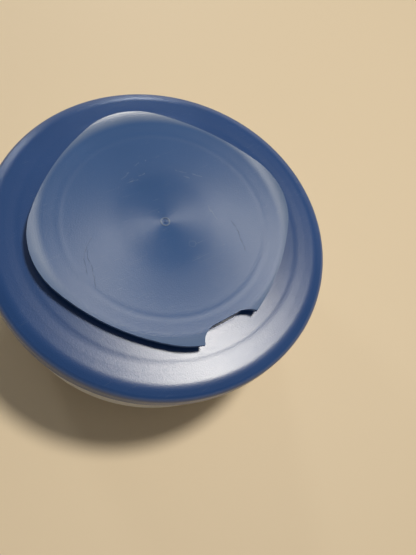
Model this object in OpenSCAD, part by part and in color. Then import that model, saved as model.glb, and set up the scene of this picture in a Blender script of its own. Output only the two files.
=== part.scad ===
// Chip and dip server: a shallow round bowl for chips, a press-on lid with a round opening,
// a dip cup that hangs in the opening, and a lobed cover whose plug seals the cup.
// Units are millimetres. +Z is up, the table is z = 0, and the thumb notch is at -Y.

/* [Bowl] */
// Outer radius of the bowl's wall
bowl_r = 67.8; // [66:0.1:90]
// Height of the bowl from the table to the top of its rim
bowl_h = 55; // [48:0.1:70]
// Thickness of the bowl's wall and floor
bowl_wall = 1.5; // [1.0:0.1:2.2]
// Narrowing of the bowl from its rim to its floor
bowl_taper = 3.7; // [1:0.1:5]
// Outer radius of the curve that joins wall and floor
belly_r = 22; // [12:0.5:24]
// How far the rim stands out from the wall
rim_out = 0.5; // [0.3:0.05:0.8]
// Height of the thick rim
rim_t = 1.8; // [1.2:0.1:3]
// Outer radius of the ring that the bowl stands on
foot_r = 43.5; // [30:0.5:45]
// Width of the foot ring
foot_w = 3; // [2:0.5:6]
// Height of the foot ring
foot_h = 1.2; // [0.8:0.1:2]

/* [Lid] */
// Thickness of the lid's skirt and panel
lid_wall = 1.4; // [1.0:0.1:1.8]
// How far the lid's widest line lies below the top of the bowl
rim_drop = 1.4; // [0.5:0.1:3]
// Depth of the skirt below the widest line
skirt_drop = 5; // [4:0.5:9]
// Width of the sloping band between skirt and panel
band_w = 4.8; // [4.4:0.1:6]
// Height of the band
band_h = 4.05; // [3.9:0.05:5]
// Slope of the band's upper part, in degrees
band_slope = 22; // [15:1:26]
// Width of the soft edge between band and panel
shoulder_w = 3.2; // [1.6:0.1:4]
// Slope of the panel, in degrees
panel_slope = 2.6; // [2:0.1:4]
// Distance from the band to the fine ridge on the panel
ridge_in = 4.9; // [4:0.1:5.5]
// Slope of the terrace between ridge and step, in degrees
terrace_slope = 1; // [0.5:0.1:2]
// Distance from the band to the middle of the soft step
step_in = 9; // [8.5:0.1:10]
// Width of the step
step_w = 3.2; // [2:0.1:4]
// Height of the step
step_h = 0.16; // [0.05:0.01:0.3]
// Depth of the sealing wall inside the bowl's rim
seal_drop = 4.9; // [3:0.1:7]
// Thickness of the sealing wall
seal_t = 1.0; // [0.8:0.1:1.4]
// Depth of the collar round the opening, below its land
collar_drop = 5.5; // [3:0.1:7]
// Thickness of the collar
collar_t = 1.5; // [1:0.1:2]

/* [Dip cup] */
// Inner radius of the cup's mouth
mouth_r = 42.5; // [34:0.1:52]
// Height of the cup, from the top of its flange to its base
cup_h = 30; // [20:0.5:38]
// Thickness of the cup's wall and floor
cup_wall = 1.4; // [1.0:0.1:1.8]
// Depth of the straight part of the mouth
mouth_depth = 11; // [9:0.5:14]
// Narrowing of the cup from its mouth to its base
cup_taper = 3; // [1:0.5:6]
// Outer radius of the curve that joins wall and base
cup_round = 7; // [3:0.5:10]
// Overhang of the flange past the cup's wall
flange_w = 2.3; // [1.5:0.1:3]
// Thickness of the flange
flange_t = 1.5; // [1:0.1:2]
// Height of the mouth's rim above the flange
rim_up = 1.5; // [1.4:0.1:3]

/* [Dip cover] */
// Thickness of the cover
cover_t = 1.5; // [1:0.1:2]
// Overhang past the cup's flange in the middle of each side
cover_out = 2.65; // [2:0.05:4]
// Radius of each side of the outline
side_r = 90; // [75:1:150]
// Radius of each corner of the outline
corner_r = 32; // [24:0.5:36]
// Depth of the shallow cone in the middle of the cover
cone_d = 0.5; // [0.3:0.05:1.2]
// Radius of the cone
cone_r = 17; // [12:0.5:20]
// Depth of the dish between the cone and the plug
dish_d = 0.8; // [0.3:0.05:1]
// Swell of the faint ring over the plug
ring_h = 0.015; // [0.005:0.005:0.04]
// Width of the ring
ring_w = 2.6; // [2:0.1:4]
// Slope at which the edge rises from the plug, in degrees
edge_slope = 2.2; // [1:0.1:3]
// Distance from the plug to where the edge begins to turn up
turn_out = 5; // [3:0.1:6]
// Radius of the curve on which the edge turns up
turn_curve = 22; // [18:1:60]
// Depth of the plug
plug_drop = 2.9; // [2.8:0.1:4]
// Thickness of the plug's wall
plug_t = 1.2; // [0.8:0.1:1.6]
// Width of the thumb notch across its open side
notch_w = 27; // [20:0.5:32]
// Width of the notch's straight inner edge
notch_inner_w = 13; // [8:0.5:16]
// Depth of the notch's inner edge past the cup's flange
notch_in = -0.2; // [-0.5:0.1:1]
// Angle from the middle of the nearest corner to the notch
notch_turn = 8.8; // [0:0.1:20]

/* [Fits] */
// Radial play where one piece snaps or seals in another
snap_play = 0.05; // [0.03:0.01:0.1]
// Radial play where one piece only guides another
guide_play = 0.3; // [0.2:0.05:0.5]

/* [Hidden] */
$fn = 128;
// Length by which a cutting shape passes what it cuts
past = 1;
// A round's cutting circle is this much larger, so that it crosses the two sides and doesn't just touch them
touch = 1.0005;

// Lid, worked out from the bowl's rim and the cup
snap_lip_out = 0.25;
snap_lip_r = bowl_r + rim_out + snap_play;
skirt_in_r = snap_lip_r + snap_lip_out;
lid_r = skirt_in_r + lid_wall;
widest_z = bowl_h - rim_drop;
skirt_z = widest_z - skirt_drop;
shoulder_r = lid_r - band_w;
shoulder_z = widest_z + band_h;
seal_r = bowl_r - bowl_wall - 2 * snap_play;

// Cup
cup_r = mouth_r + cup_wall;
flange_r = cup_r + flange_w;
opening_r = cup_r + guide_play;
collar_r = opening_r + collar_t;
land_r = flange_r + past;
ridge_r = shoulder_r - ridge_in;
step_r = shoulder_r - step_in;
land_z = panel_z(land_r);
seat_z = land_z + flange_t + rim_up;
cup_z = seat_z - cup_h;

// Snap beads of the cup and of the plug
bead_half = 0.9;
bead_flat = 0.5;

// Cover
plate_z = seat_z + cover_t;
plug_r = mouth_r - guide_play;
flat_r = flange_r + cover_out;
side_centre = side_r - flat_r;
corner_centre = sqrt(pow(side_r - corner_r, 2) - pow(side_centre, 2) / 2) - side_centre / sqrt(2);
tip_r = corner_centre + corner_r;
turn_r = plug_r + turn_out;
// Direction, from a corner's middle line, in which corner and side arcs meet
meet_angle = atan2(side_centre / sqrt(2), corner_centre + side_centre / sqrt(2));
notch_y = flange_r + notch_in;

// How far t has climbed a soft step from 0 to 1
function soft_step(t) = t <= 0 ? 0 : t >= 1 ? 1 : t * t * (3 - 2 * t);

// Height of the panel's top at radius r: panel, ridge, terrace, step, panel again, from the band inwards
function panel_z(r) =
  shoulder_z
    + (shoulder_r - max(r, ridge_r)) * tan(panel_slope)
    + max(0, ridge_r - max(r, step_r)) * tan(terrace_slope)
    + max(0, step_r - r) * tan(panel_slope)
    + step_h * soft_step((step_r - r) / step_w + 1 / 2);

// Points along an arc
function arc(centre, r, from, to, steps) =
  [for (i = [0:steps]) centre + r * [cos(from + (to - from) * i / steps), sin(from + (to - from) * i / steps)]];

// Points along a quadratic curve from a to c that leaves and arrives towards b
function curve(a, b, c, steps) =
  [for (i = [0:steps]) let (t = i / steps) (1 - t) * (1 - t) * a + 2 * t * (1 - t) * b + t * t * c];

// A ring of rectangular section
module ring(inner, outer, z, h) {
  translate([0, 0, z]) difference() {
    cylinder(r = outer, h = h);
    translate([0, 0, -past]) cylinder(r = inner, h = h + 2 * past);
  }
}

// What a round of radius r takes off a corner, whose sides run away from it along the unit vectors u and v
module corner_waste(corner, u, v, r) {
  half = acos(u * v) / 2;
  inward = (u + v) / norm(u + v);
  from = corner + r / tan(half) * u;
  to = corner + r / tan(half) * v;
  difference() {
    polygon([from, from - past * inward, corner - past * inward, to - past * inward, to]);
    translate(corner + r / sin(half) * inward) circle(r * touch);
  }
}

// Half section of a tapered tub whose wall leans out to radius r at height knee
module tapered_section(r, z, knee, top, taper, round) {
  lean = atan(taper / (knee - z));
  difference() {
    polygon([[0, z], [r - taper, z], [r, knee], [r, top], [0, top]]);
    corner_waste([r - taper, z], [sin(lean), cos(lean)], [-1, 0], round);
  }
}

// The small round scar where the melt enters the mould
module gate_mark(z) {
  scar_r = 1.9;
  scar_t = 0.4;
  scar_h = 0.25;
  nub_r = 0.5;
  ring(scar_r - scar_t, scar_r, z, scar_h);
  translate([0, 0, z]) cylinder(r = nub_r, h = scar_h);
}

module bowl() {
  // the wall is straight as far down as the lid's sealing wall and snap lip reach
  knee_z = bowl_h - seal_drop - past;
  color([0.85, 0.86, 0.82]) union() {
    rotate_extrude() difference() {
      union() {
        tapered_section(bowl_r, foot_h, knee_z, bowl_h, bowl_taper, belly_r);
        bowl_rim_section();
        // foot ring
        translate([foot_r - foot_w, 0]) square([foot_w, foot_h + bowl_wall / 2]);
      }
      tapered_section(bowl_r - bowl_wall, foot_h + bowl_wall, knee_z, bowl_h + past, bowl_taper, belly_r - bowl_wall);
    }
    mirror([0, 0, 1]) gate_mark(-foot_h);
  }
}

// The thick rim that the lid snaps over, with a slope under it and a bevel over it
module bowl_rim_section() {
  bevel = rim_out / 2;
  root = bowl_r - bowl_wall / 2;
  polygon([
    [root, bowl_h - rim_t - rim_out],
    [bowl_r, bowl_h - rim_t - rim_out],
    [bowl_r + rim_out, bowl_h - rim_t],
    [bowl_r + rim_out, bowl_h - bevel],
    [bowl_r + rim_out - bevel, bowl_h],
    [root, bowl_h]
  ]);
}

module lid() {
  color([0.22, 0.36, 0.62]) rotate_extrude() difference() {
    lid_outer_section();
    lid_underside_section();
  }
}

// The lid's outer shape as if it were solid: land, sloping panel, band, rounded edge, skirt
module lid_outer_section() {
  // the round starts where the band's slope meets it and ends at the widest line
  edge_r = (band_h - band_w * tan(band_slope)) / (1 / cos(band_slope) - tan(band_slope));
  corner = [lid_r, shoulder_z - band_w * tan(band_slope)];
  chamfer = 0.4;
  soft_from = [shoulder_r - shoulder_w / 2, shoulder_z + shoulder_w / 2 * tan(panel_slope)];
  soft_to = [shoulder_r + shoulder_w / 2, shoulder_z - shoulder_w / 2 * tan(band_slope)];
  difference() {
    polygon([
      [opening_r, skirt_z],
      [opening_r, land_z - chamfer],
      [opening_r + chamfer, land_z],
      [land_r, land_z],
      for (i = [0:8]) let (r = step_r + step_w * (i / 8 - 1 / 2)) [r, panel_z(r)],
      [ridge_r, panel_z(ridge_r)],
      each curve(soft_from, [shoulder_r, shoulder_z], soft_to, 6),
      corner,
      [lid_r, skirt_z + chamfer],
      [lid_r - chamfer, skirt_z]
    ]);
    corner_waste(corner, [-cos(band_slope), sin(band_slope)], [0, -1], edge_r);
  }
}

// The space under the lid: collar, panel, sealing wall, the channel for the bowl's rim, snap lip
module lid_underside_section() {
  seal_z = bowl_h - seal_drop;
  seal_bevel = 0.4;
  lip_h = 0.5;
  lip_gap = 0.35;
  lip_z = bowl_h - rim_t - rim_out - lip_gap - lip_h / 2;
  corner_bevel = 0.6;
  polygon([
    [opening_r - past, skirt_z - past],
    [opening_r - past, land_z - collar_drop],
    [collar_r, land_z - collar_drop],
    [collar_r, land_z - lid_wall],
    [land_r, land_z - lid_wall],
    [seal_r - seal_t, shoulder_z - lid_wall - corner_bevel],
    [seal_r - seal_t, seal_z],
    [seal_r - seal_bevel, seal_z],
    [seal_r, seal_z + 2 * seal_bevel],
    [seal_r, bowl_h],
    [skirt_in_r, bowl_h],
    [skirt_in_r, lip_z + lip_h / 2 + snap_lip_out],
    [snap_lip_r, lip_z + lip_h / 2],
    [snap_lip_r, lip_z - lip_h / 2],
    [skirt_in_r, skirt_z],
    [skirt_in_r, skirt_z - past]
  ]);
}

module dip_cup() {
  knee_z = seat_z - mouth_depth;
  // shallow recess, so that the cup stands on the edge of its base
  recess_in = 2;
  recess_r = cup_r - cup_taper - cup_round - recess_in;
  recess_d = 0.5;
  color([0.85, 0.86, 0.82]) rotate_extrude() difference() {
    union() {
      tapered_section(cup_r, cup_z, knee_z, seat_z, cup_taper, cup_round);
      // flange that rests on the lid
      translate([mouth_r + cup_wall / 2, land_z]) square([flange_w + cup_wall / 2, flange_t]);
      bead_section(cup_r, opening_r - snap_play, land_z - collar_drop - bead_half);
    }
    tapered_section(mouth_r, cup_z + cup_wall, knee_z, seat_z + past, cup_taper, cup_round - cup_wall);
    translate([0, cup_z - past]) square([recess_r, recess_d + past]);
  }
}

// Half section of a snap bead that stands on a wall of radius r and reaches radius bead_r at height z
module bead_section(r, bead_r, z) {
  polygon([
    [r - past / 2, z - bead_half],
    [r, z - bead_half],
    [bead_r, z - bead_flat / 2],
    [bead_r, z + bead_flat / 2],
    [r, z + bead_half],
    [r - past / 2, z + bead_half]
  ]);
}

module dip_cover() {
  above = plate_z + edge_rise(tip_r) + past;
  color([0.24, 0.38, 0.64]) union() {
    difference() {
      intersection() {
        rotate_extrude() cover_plate_section();
        linear_extrude(height = above) cover_outline();
      }
      linear_extrude(height = above) notch_outline();
    }
    rotate_extrude() cover_plug_section();
    gate_mark(plate_z - dish_d - cone_d);
  }
}

// Height of the cover's edge over the plug at radius r: it rises evenly, then turns up
function edge_rise(r) =
  r < turn_r
    ? (r - plug_r) * tan(edge_slope)
    : turn_out * tan(edge_slope) + turn_curve * cos(edge_slope)
      - sqrt(pow(turn_curve, 2) - pow(r - turn_r + turn_curve * sin(edge_slope), 2));

// Half section of the plate: cone, dish, faint ring, and an edge that turns up towards the corners
module cover_plate_section() {
  // the dish meets the cone along a curve this wide on either side
  blend = 8;
  turn_steps = 8;
  dish_z = plate_z - dish_d;
  ring_in = [plug_r - ring_w, plate_z + edge_rise(plug_r - ring_w)];
  ring_middle = [plug_r - ring_w / 2, plate_z + edge_rise(plug_r - ring_w / 2) + ring_h];
  dish_slope = (ring_in.y - dish_z) / (ring_in.x - cone_r);
  top = concat(
    [[0, dish_z - cone_d]],
    curve(
      [cone_r - blend, dish_z - cone_d * blend / cone_r],
      [cone_r, dish_z],
      [cone_r + blend, dish_z + dish_slope * blend],
      10
    ),
    curve(ring_in, ring_middle, [plug_r, plate_z], 4),
    [for (i = [0:turn_steps])
      let (r = turn_r + (tip_r + past - turn_r) * i / turn_steps)
      [r, plate_z + edge_rise(r)]]
  );
  polygon(concat(top, [for (i = [len(top) - 1:-1:0]) top[i] - [0, cover_t]]));
}

// Half section of the plug, with its sealing bead and the flat seat that rests on the cup's rim
module cover_plug_section() {
  plug_z = seat_z - plug_drop;
  root_z = plate_z - cover_t / 2;
  bevel = 0.5;
  union() {
    polygon([
      [plug_r - plug_t, root_z],
      [plug_r - plug_t, plug_z],
      [plug_r - bevel, plug_z],
      [plug_r, plug_z + bevel],
      [plug_r, seat_z],
      [cup_r, seat_z],
      [cup_r, root_z]
    ]);
    bead_section(plug_r, mouth_r - snap_play, seat_z - plug_drop / 2);
  }
}

// Four equal sides and four equal corners, all of them arcs that meet smoothly
module cover_outline() {
  polygon([for (i = [0:3]) let (a = -90 - notch_turn + 90 * i) each concat(
    arc(corner_centre * [cos(a), sin(a)], corner_r, a - meet_angle, a + meet_angle, 16),
    // the side's own ends are the corners' ends, so they are left out
    let (side = arc(-side_centre * [cos(a + 45), sin(a + 45)], side_r, a + meet_angle, a + 90 - meet_angle, 10))
      [for (j = [1:9]) side[j]]
  )]);
}

// The thumb notch: a straight inner edge and two flanks that curve out to sharp corners
module notch_outline() {
  flare = 1;
  heel = 1.5;
  inner = [notch_inner_w / 2, -notch_y];
  bend = [notch_w / 2 - flare, -notch_y - heel];
  outer = [notch_w / 2, -tip_r + flare];
  flank = curve(inner, bend, outer, 8);
  beyond = [notch_w / 2, -tip_r - past];
  polygon(concat(flank, [beyond, [-beyond.x, beyond.y]], [for (i = [8:-1:0]) [-flank[i].x, flank[i].y]]));
}

bowl();
lid();
dip_cup();
dip_cover();
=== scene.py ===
"""Looks of the chip and dip server: blue satin plastic lid and cover, frosted bowl and dip cup.

Lengths are metres in the CAD's own frame: +Z up, the table at z = 0, the thumb notch at -Y.
"""

import math
import random

import bpy
from mathutils import Matrix, Vector


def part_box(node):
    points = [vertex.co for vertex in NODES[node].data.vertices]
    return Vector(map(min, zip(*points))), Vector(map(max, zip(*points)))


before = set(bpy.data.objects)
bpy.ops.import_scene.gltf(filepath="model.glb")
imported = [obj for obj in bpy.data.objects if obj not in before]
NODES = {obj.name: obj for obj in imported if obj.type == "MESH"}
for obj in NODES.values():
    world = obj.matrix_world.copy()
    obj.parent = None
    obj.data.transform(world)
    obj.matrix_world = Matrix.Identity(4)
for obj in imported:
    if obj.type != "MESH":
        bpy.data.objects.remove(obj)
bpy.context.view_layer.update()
MM = 0.001

# ---------------------------------------------------------------- places, from the frame

SKIRT_DROP = 5 * MM
lid_low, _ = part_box("lid")
rim_z = lid_low.z + SKIRT_DROP       # the lid's widest line
middle = Vector((0, 0, rim_z))       # what the lights and the camera are placed round


def direction(azimuth, elevation):
    """Unit vector towards a compass direction: azimuth anticlockwise from +X, in degrees."""
    a, e = math.radians(azimuth), math.radians(elevation)
    return Vector((math.cos(a) * math.cos(e), math.sin(a) * math.cos(e), math.sin(e)))


# ---------------------------------------------------------------- node-building helpers

def new_material(name):
    """An empty node material with its Principled shader, already joined to the output."""
    material = bpy.data.materials.new(name)
    material.use_nodes = True
    tree = material.node_tree
    shader = tree.nodes["Principled BSDF"]
    return material, tree, shader


def node(tree, kind, **values):
    """A new node; plain values go to its properties, and numbers or sockets to its inputs by index."""
    made = tree.nodes.new(kind)
    for key, value in values.items():
        if key.startswith("in_"):
            socket = made.inputs[int(key[3:])]
            if isinstance(value, bpy.types.NodeSocket):
                tree.links.new(value, socket)
            else:
                socket.default_value = value
        else:
            setattr(made, key, value)
    return made


def maths(tree, operation, first, second=0.0, third=0.0, clamp=False):
    """The result of one Math node."""
    made = node(tree, "ShaderNodeMath", operation=operation, use_clamp=clamp,
                in_0=first, in_1=second, in_2=third)
    return made.outputs[0]


def vector(tree, operation, first, second=(0, 0, 0), output=0):
    """The result of one Vector Math node: its vector, or its number where output is "Value"."""
    return node(tree, "ShaderNodeVectorMath", operation=operation, in_0=first, in_1=second).outputs[output]


def place(tree):
    """Object coordinates, which are metres in the frame, also after a body has moved."""
    return node(tree, "ShaderNodeTexCoord").outputs["Object"]


def flat_place(tree, where):
    """The place with its height taken out, so that distances run along the table."""
    return vector(tree, "MULTIPLY", where, (1, 1, 0))


def radius_at(tree, where):
    """Distance from the Z axis."""
    return vector(tree, "LENGTH", flat_place(tree, where), output="Value")


def noise(tree, where, scale, detail=2.0, roughness=0.5):
    made = node(tree, "ShaderNodeTexNoise", in_0=where)
    made.inputs["Scale"].default_value = scale
    made.inputs["Detail"].default_value = detail
    made.inputs["Roughness"].default_value = roughness
    return made.outputs["Fac"]


def gap_to(tree, value, mark):
    """How far the value is from a mark, on either side."""
    return maths(tree, "ABSOLUTE", maths(tree, "SUBTRACT", value, mark))


def ramp(tree, value, low, high, out_low=0.0, out_high=1.0):
    """Value mapped smoothly from [low, high] to [out_low, out_high]."""
    made = node(tree, "ShaderNodeMapRange", interpolation_type="SMOOTHSTEP", in_0=value)
    for index, number in zip((1, 2, 3, 4), (low, high, out_low, out_high)):
        made.inputs[index].default_value = number
    return made.outputs[0]


def mix_colour(tree, factor, first, second):
    made = node(tree, "ShaderNodeMix", data_type="RGBA", in_0=factor)
    for socket, colour in ((made.inputs[6], first), (made.inputs[7], second)):
        if isinstance(colour, bpy.types.NodeSocket):
            tree.links.new(colour, socket)
        else:
            socket.default_value = (*colour, 1)
    return made.outputs[2]


def bump(tree, height, distance, normal=None):
    """A full-strength bump of this height, on top of another bump's normal if one is given."""
    made = node(tree, "ShaderNodeBump")
    made.inputs["Strength"].default_value = 1
    made.inputs["Distance"].default_value = distance
    tree.links.new(height, made.inputs["Height"])
    if normal is not None:
        tree.links.new(normal, made.inputs["Normal"])
    return made.outputs[0]


def stroke(tree, flat, start, end, width):
    """A fine straight mark between two points in millimetres: 1 along its middle, 0 outside its width."""
    first, last = (Vector((*point, 0)) * MM for point in (start, end))
    along = last - first
    offset = vector(tree, "SUBTRACT", flat, first)
    run = vector(tree, "DOT_PRODUCT", offset, along, "Value")
    share = maths(tree, "MULTIPLY", run, 1 / along.length_squared, clamp=True)
    nearest = node(tree, "ShaderNodeVectorMath", operation="SCALE", in_0=along)
    tree.links.new(share, nearest.inputs["Scale"])
    gap = vector(tree, "DISTANCE", offset, nearest.outputs[0], "Value")
    return ramp(tree, gap, 0, width * MM, 1, 0)


def strokes(tree, flat, runs, width):
    """Several marks as one mask; each run is a chain of points in millimetres."""
    mask = None
    for run in runs:
        for start, end in zip(run, run[1:]):
            one = stroke(tree, flat, start, end, width)
            mask = one if mask is None else maths(tree, "MAXIMUM", mask, one)
    return mask


def hair_scratches(tree, where, angle, seed):
    """Sparse hair-fine scratches that run one way, as a mask."""
    turned = node(tree, "ShaderNodeMapping", in_0=where)
    turned.inputs["Location"].default_value = (seed, seed * 1.7, seed * 2.3)
    turned.inputs["Rotation"].default_value = (0, 0, math.radians(angle))
    turned.inputs["Scale"].default_value = (140, 4200, 1)
    streak = noise(tree, turned.outputs[0], 1, 1, 0.4)
    patch = noise(tree, where, 55 + seed, 1)
    return maths(tree, "MULTIPLY", ramp(tree, streak, 0.70, 0.78), ramp(tree, patch, 0.5, 0.62))


def specks(tree, where, scale, size):
    """Sparse round specks of dust, as a mask: the few cells whose random number is high get one."""
    cells = node(tree, "ShaderNodeTexVoronoi", in_0=where)
    cells.inputs["Scale"].default_value = scale
    chance = node(tree, "ShaderNodeSeparateColor", in_0=cells.outputs["Color"]).outputs[0]
    return maths(tree, "MULTIPLY", ramp(tree, cells.outputs["Distance"], 0.4 * size, size, 1, 0),
                 ramp(tree, chance, 0.93, 0.95))


# ---------------------------------------------------------------- materials

LID_BLUE = (0.009, 0.052, 0.186)
COVER_BLUE = (0.025, 0.080, 0.222)
# pale colour of scuffs, dust and the gate scar, also used for the painted highlight on the cover's turned-up
# edge
SCUFF_AND_EDGE_SHEEN = (0.20, 0.25, 0.33)
LID_SPECULAR = 0.83
COVER_SPECULAR = 0.72


def varied(tree, colour, cloud, reach=0.1):
    """The colour, a little lighter and darker from place to place."""
    darker, lighter = (tuple(c * change for c in colour) for change in (1 - reach, 1 + reach))
    return mix_colour(tree, cloud, darker, lighter)


def blue_lid():
    material, tree, shader = new_material("blue_lid")
    where = place(tree)
    cloud = noise(tree, where, 30, 3)
    dust = specks(tree, where, 190, 0.07)
    worn = maths(tree, "MAXIMUM", hair_scratches(tree, where, 25, 3), hair_scratches(tree, where, -50, 7))
    colour = mix_colour(tree, maths(tree, "MULTIPLY", worn, 0.25), varied(tree, LID_BLUE, cloud), SCUFF_AND_EDGE_SHEEN)
    colour = mix_colour(tree, maths(tree, "MULTIPLY", dust, 0.7), colour, SCUFF_AND_EDGE_SHEEN)
    tree.links.new(colour, shader.inputs["Base Color"])
    rough = maths(tree, "MULTIPLY_ADD", cloud, 0.05, 0.295)
    tree.links.new(rough, shader.inputs["Roughness"])
    shader.inputs["Specular IOR Level"].default_value = LID_SPECULAR
    grain = noise(tree, where, 1700, 3, 0.7)
    skin = bump(tree, grain, 0.05 * MM)
    tree.links.new(bump(tree, worn, 0.004 * MM, normal=skin), shader.inputs["Normal"])
    return material


# Marks of use on the cover. Each starts with its direction in degrees and its radius in millimetres,
# as whole numbers.
LONG_SCRATCHES = [(-25, 27, -1), (170, 30, 1), (175, 33, 1)]    # then the way round that it runs
SCUFF_PATCHES = [(95, 25, 5), (45, 25, 3), (-15, 16, 2)]        # then how many scuffs it has
RING_MARK = (-70, 14)
SCRATCH_WIDTH = 0.24                 # both widths are in millimetres, as stroke() takes them
SCUFF_WIDTH = 0.34
RING_MARK_R = 1.4 * MM
SCAR_R = 1.7 * MM                    # middle of the gate scar's ring
PLUG_R = 42.2 * MM
SWELL_WIDTH = 2.6 * MM
marks = random.Random(4)


def polar(turn, radius):
    """A point on the cover, in the unit of its radius, from a direction in degrees."""
    return Vector((math.cos(math.radians(turn)), math.sin(math.radians(turn)))) * radius


def long_scratch(turn, radius, way):
    """A chain of points that wanders outwards and round the cover."""
    run = []
    for _ in range(4):
        run.append(polar(turn, radius))
        turn += way * marks.uniform(5, 12)
        radius += marks.uniform(0.5, 5)
    return run


def scuff_patch(turn, radius, count):
    """Short scuffs that lie about side by side."""
    middle = polar(turn, radius)
    heading = turn - 90
    scuffs = []
    for _ in range(count):
        start = middle + Vector((marks.uniform(-5, 5), marks.uniform(-4, 4)))
        scuffs.append([start, start + polar(heading + marks.uniform(-20, 20), marks.uniform(2, 5))])
    return scuffs


def blue_cover():
    material, tree, shader = new_material("blue_cover")
    where = place(tree)
    radius = radius_at(tree, where)
    cloud = noise(tree, where, 30, 3)
    # marks wander a little off their straight runs and fade in and out
    drift = node(tree, "ShaderNodeTexNoise", in_0=where)
    drift.inputs["Scale"].default_value = 260
    shift = vector(tree, "MULTIPLY", vector(tree, "SUBTRACT", drift.outputs["Color"], (0.5, 0.5, 0.5)),
                   (1.6 * MM, 1.6 * MM, 0))
    flat = vector(tree, "ADD", flat_place(tree, where), shift)
    fade = ramp(tree, noise(tree, where, 700, 2), 0.35, 0.6, 0.35, 1)
    scuffed = [scuff for patch in SCUFF_PATCHES for scuff in scuff_patch(*patch)]
    scratches = [long_scratch(*scratch) for scratch in LONG_SCRATCHES]
    grooves = maths(tree, "MULTIPLY", strokes(tree, flat, scratches, SCRATCH_WIDTH), fade)
    scuffs = maths(tree, "MULTIPLY", strokes(tree, flat, scuffed, SCUFF_WIDTH), fade)
    from_ring = vector(tree, "DISTANCE", flat, Vector((*polar(*RING_MARK), 0)) * MM, "Value")
    ring = ramp(tree, gap_to(tree, from_ring, RING_MARK_R), 0, 0.35 * MM, 0.5, 0)
    scuffs = maths(tree, "MAXIMUM", scuffs, ring)
    worn = maths(tree, "MAXIMUM", hair_scratches(tree, where, 70, 1), hair_scratches(tree, where, 12, 5))
    dust = specks(tree, where, 150, 0.06)

    colour = mix_colour(tree, maths(tree, "MULTIPLY", worn, 0.22), varied(tree, COVER_BLUE, cloud), SCUFF_AND_EDGE_SHEEN)
    pale = maths(tree, "MULTIPLY", maths(tree, "MAXIMUM", scuffs, dust), 0.36)
    colour = mix_colour(tree, pale, colour, SCUFF_AND_EDGE_SHEEN)
    # the gate scar is whitened by the stress of breaking it off
    scar = ramp(tree, gap_to(tree, radius, SCAR_R), 0.1 * MM, 0.45 * MM, 0.6, 0)
    colour = mix_colour(tree, scar, colour, SCUFF_AND_EDGE_SHEEN)
    # the scratches' grooves are painted darker: painted shade in them
    in_shade = tuple(c * 0.4 for c in COVER_BLUE)
    colour = mix_colour(tree, maths(tree, "MULTIPLY", grooves, 0.6), colour, in_shade)
    # the turned-up edge is painted a little paler, as a painted highlight
    edge_highlight_share = ramp(tree, radius, 46.5 * MM, 50 * MM, 0, 0.42)
    painted_edge_highlight = maths(tree, "MULTIPLY", edge_highlight_share, ramp(tree, cloud, 0.3, 0.6, 0.6, 1))
    colour = mix_colour(tree, painted_edge_highlight, colour, SCUFF_AND_EDGE_SHEEN)
    tree.links.new(colour, shader.inputs["Base Color"])

    # the mould was polished in the middle and round the edge
    rough = ramp(tree, radius, 16 * MM, 27 * MM, 0.295, 0.395)
    rough = maths(tree, "SUBTRACT", rough, ramp(tree, radius, 45.5 * MM, 48 * MM, 0, 0.06))
    rough = maths(tree, "MULTIPLY_ADD", maths(tree, "SUBTRACT", cloud, 0.5), 0.04, rough)
    rough = maths(tree, "MULTIPLY_ADD", grooves, 0.15, rough)
    tree.links.new(rough, shader.inputs["Roughness"])
    shader.inputs["Specular IOR Level"].default_value = COVER_SPECULAR
    shader.inputs["Anisotropic"].default_value = 0.54
    tree.links.new(vector(tree, "CROSS_PRODUCT", (0, 0, 1), where), shader.inputs["Tangent"])
    grain = noise(tree, where, 1700, 3, 0.7)
    skin = bump(tree, grain, 0.045 * MM)
    # the plate swells faintly over the plug
    from_plug = gap_to(tree, radius, PLUG_R - SWELL_WIDTH / 2)
    skin = bump(tree, ramp(tree, from_plug, 0, 2.4 * MM, 1, 0), 0.026 * MM, normal=skin)
    depth = maths(tree, "SUBTRACT", maths(tree, "MULTIPLY", worn, 0.2), grooves)
    tree.links.new(bump(tree, depth, 0.02 * MM, normal=skin), shader.inputs["Normal"])
    return material


def frosted_plastic():
    material, tree, shader = new_material("frosted_plastic")
    where = place(tree)
    cloud = noise(tree, where, 60, 3)
    colour = mix_colour(tree, cloud, (0.86, 0.86, 0.82), (0.92, 0.92, 0.89))
    tree.links.new(colour, shader.inputs["Base Color"])
    rough = maths(tree, "MULTIPLY_ADD", cloud, 0.08, 0.34)
    tree.links.new(rough, shader.inputs["Roughness"])
    shader.inputs["IOR"].default_value = 1.49
    shader.inputs["Transmission Weight"].default_value = 0.35
    # light soaks some way into the milky wall and through it
    shader.inputs["Subsurface Weight"].default_value = 0.6
    shader.inputs["Subsurface Radius"].default_value = (1, 1, 0.9)
    shader.inputs["Subsurface Scale"].default_value = 5 * MM
    grain = noise(tree, where, 1800, 2, 0.6)
    tree.links.new(bump(tree, grain, 0.01 * MM), shader.inputs["Normal"])
    return material


def give(name, material):
    NODES[name].data.materials.clear()
    NODES[name].data.materials.append(material)


def soften_edges(name, width):
    """Round the sharp edges a little, as a mould does, by a modifier that leaves the CAD's mesh data alone."""
    bevel = NODES[name].modifiers.new("soft_edges", "BEVEL")
    bevel.width = width
    bevel.segments = 2
    bevel.limit_method = "ANGLE"
    bevel.angle_limit = math.radians(40)
    bevel.harden_normals = True


frosted = frosted_plastic()
give("lid", blue_lid())
give("dip_cover", blue_cover())
give("bowl", frosted)
give("dip_cup", frosted)
soften_edges("dip_cover", 0.25 * MM)
soften_edges("lid", 0.15 * MM)

# ---------------------------------------------------------------- stage, light and camera

BACKDROP = (0.9, 0.9, 0.88)
FLOOR = (0.74, 0.60, 0.41)
FLOOR_WIDTH = 6.0
FADE_FROM, FADE_TO = 0.32, 1.1       # how far out the floor begins and ends its fade into the backdrop


def mirrored_ray(tree, path):
    """1 for the rays that a mirror or clear plastic sends on."""
    return maths(tree, "MAXIMUM", path.outputs["Is Glossy Ray"], path.outputs["Is Transmission Ray"])


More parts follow.
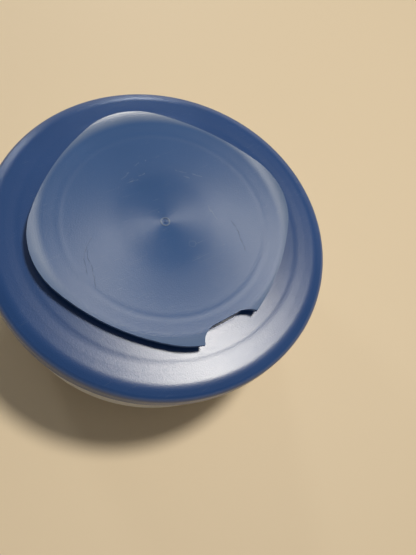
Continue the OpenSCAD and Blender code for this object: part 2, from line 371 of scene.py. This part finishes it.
def stage_floor():
    """A plain pale table that fades into the backdrop well away from the object."""
    material, tree, shader = new_material("floor")
    shader.inputs["Base Color"].default_value = (*FLOOR, 1)
    shader.inputs["Roughness"].default_value = 0.6
    radius = radius_at(tree, place(tree))
    path = node(tree, "ShaderNodeLightPath")
    seen = maths(tree, "MAXIMUM", path.outputs["Is Camera Ray"], mirrored_ray(tree, path))
    far = node(tree, "ShaderNodeEmission", in_0=(*BACKDROP, 1))
    share = maths(tree, "MULTIPLY", seen, ramp(tree, radius, FADE_FROM, FADE_TO))
    fading = node(tree, "ShaderNodeMixShader", in_0=share)
    tree.links.new(shader.outputs[0], fading.inputs[1])
    tree.links.new(far.outputs[0], fading.inputs[2])
    tree.links.new(fading.outputs[0], tree.nodes["Material Output"].inputs["Surface"])
    half = FLOOR_WIDTH / 2
    mesh = bpy.data.meshes.new("floor")
    corners = [(-half, -half, 0), (half, -half, 0), (half, half, 0), (-half, half, 0)]
    mesh.from_pydata(corners, [], [(0, 1, 2, 3)])
    floor = bpy.data.objects.new("floor", mesh)
    bpy.context.collection.objects.link(floor)
    floor.data.materials.append(material)


stage_floor()


def area_light(name, azimuth, elevation, distance, size, energy, colour):
    """A round lamp, or a rectangular one where size is a pair."""
    data = bpy.data.lights.new(name, "AREA")
    if isinstance(size, tuple):
        data.shape = "RECTANGLE"
        data.size, data.size_y = size
    else:
        data.shape = "DISK"
        data.size = size
    data.energy = energy
    data.color = colour
    light = bpy.data.objects.new(name, data)
    bpy.context.collection.objects.link(light)
    towards = direction(azimuth, elevation)
    light.location = middle + distance * towards
    light.rotation_mode = "QUATERNION"
    light.rotation_quaternion = towards.to_track_quat("Z", "Y")


LIGHT_DISTANCE = 1.2
WARM = (1, 0.95, 0.86)
COOL = (0.9, 0.96, 1)
area_light("key", -3, 73.5, LIGHT_DISTANCE, 0.21, 10.7, WARM)
area_light("window", 60, 21, LIGHT_DISTANCE, (0.13, 0.26), 1.6, COOL)
area_light("doorway", 97, 22, LIGHT_DISTANCE, (0.18, 0.3), 1.3, COOL)


def world_light(ambient):
    """Soft grey light from all round, and a pale backdrop that the camera and low reflections see."""
    world = bpy.data.worlds.new("world")
    bpy.context.scene.world = world
    world.use_nodes = True
    tree = world.node_tree
    path = node(tree, "ShaderNodeLightPath")
    towards = node(tree, "ShaderNodeTexCoord").outputs["Generated"]
    height = node(tree, "ShaderNodeSeparateXYZ", in_0=towards).outputs[2]
    low = ramp(tree, height, 0.05, 0.3, 1, 0)
    low_mirrored = maths(tree, "MULTIPLY", mirrored_ray(tree, path), low)
    seen = maths(tree, "MAXIMUM", path.outputs["Is Camera Ray"], low_mirrored)
    colour = mix_colour(tree, seen, ambient, BACKDROP)
    tree.links.new(colour, tree.nodes["Background"].inputs["Color"])


AMBIENT = (0.17, 0.17, 0.17)
world_light(AMBIENT)

CAMERA_AZIMUTH = 225.1
CAMERA_ELEVATION = 60.43
CAMERA_DISTANCE = 223.2 * MM
AIM = Vector((6.2 * MM, -26.2 * MM, rim_z))
ROLL = 28.9
camera_data = bpy.data.cameras.new("camera")
camera_data.lens = 35.03
camera_data.sensor_width = 36
camera_data.clip_start = 0.01
camera = bpy.data.objects.new("camera", camera_data)
bpy.context.collection.objects.link(camera)
camera.location = middle + CAMERA_DISTANCE * direction(CAMERA_AZIMUTH, CAMERA_ELEVATION)
camera.rotation_mode = "QUATERNION"
aimed = (AIM - camera.location).to_track_quat("-Z", "Y").to_matrix()
camera.rotation_quaternion = (aimed @ Matrix.Rotation(math.radians(ROLL), 3, "Z")).to_quaternion()
bpy.context.scene.camera = camera
bpy.context.scene.view_settings.view_transform = "Standard"
